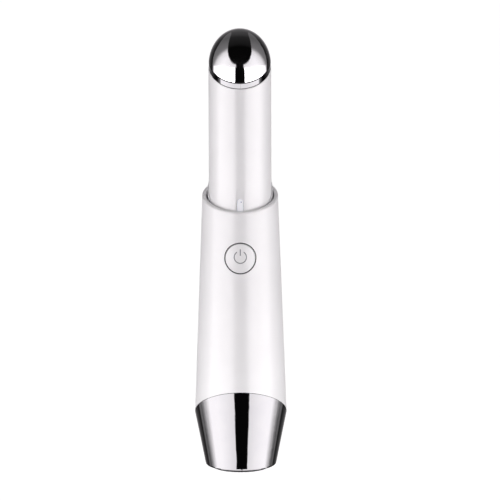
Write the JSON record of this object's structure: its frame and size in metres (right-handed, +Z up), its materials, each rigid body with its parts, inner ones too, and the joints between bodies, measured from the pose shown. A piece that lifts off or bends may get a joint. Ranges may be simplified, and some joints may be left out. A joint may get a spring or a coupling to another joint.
{
  "type": "heated eye massager wand",
  "caption": "Slim upright massager wand with a domed metal head on a slanted joint, a round neck, a tapered handle with a power button and a flared metal base.",
  "frame": {"origin": "centre of the foot's lower face, on the wand's axis", "axes": "+Z up along the wand's axis to the head, -Y out through the power button"},
  "size_m": [0.029, 0.029, 0.1408],
  "materials": {
    "board_laminate": "green solder mask",
    "cell_wrap": "heat-shrunk film",
    "chip_resin": "moulded epoxy",
    "clear_guide": "clear moulded",
    "dark_silicone": "moulded silicone",
    "frame_plastic": "moulded",
    "heater_ceramic": "fired",
    "led_resin": "clear resin over phosphor",
    "mirror_chrome": "polished chrome plating",
    "nickel": "nickel plating",
    "nylon": "moulded natural nylon",
    "steel": "turned",
    "symbol_ink": "flat grey ink",
    "tungsten": "sintered",
    "white_shell": "glossy moulded white",
    "wire_cover": "extruded silicone"
  },
  "bodies": {
    "wand": {"massage_head": "mirror_chrome", "head_ring": "mirror_chrome", "head_insulator": "nylon", "heater_plate": "heater_ceramic", "heater_clamp": "nylon", "thermistor": "led_resin", "heater_wires": "wire_cover", "neck_shell": "white_shell", "light_guide": "clear_guide", "collar_sleeve": "white_shell", "motor_can": "nickel", "motor_holder": "dark_silicone", "motor_wires": "wire_cover", "handle_shell": "white_shell", "tact_switch": "steel", "button_bezel": "dark_silicone", "circuit_board": "board_laminate", "control_chips": "chip_resin", "indicator_led": "led_resin", "wire_plug": "nylon", "board_screws": "steel", "battery_cell": "cell_wrap", "cell_tabs": "nickel", "inner_frame": "frame_plastic", "bottom_cap": "mirror_chrome", "foot_plate": "dark_silicone", "charging_socket": "chip_resin", "charge_board": "board_laminate", "cap_screws": "steel"},
    "key": {"power_button": "white_shell", "power_symbol": "symbol_ink", "switch_plunger": "frame_plastic"},
    "rotor": {"motor_shaft": "steel", "eccentric_weight": "tungsten"}
  },
  "joints": [
    {"name": "button_press", "type": "slide", "parent": "wand", "child": "key", "axis": [0, 1, 0], "range_m": [0, 0.0003], "stiffness_N_per_m": 2000, "springref_m": -0.0002},
    {"name": "rotor_spin", "type": "hinge", "parent": "wand", "child": "rotor", "pos_m": [0, 0, 0.113], "axis": [0, 0, 1], "continuous": true}
  ]
}
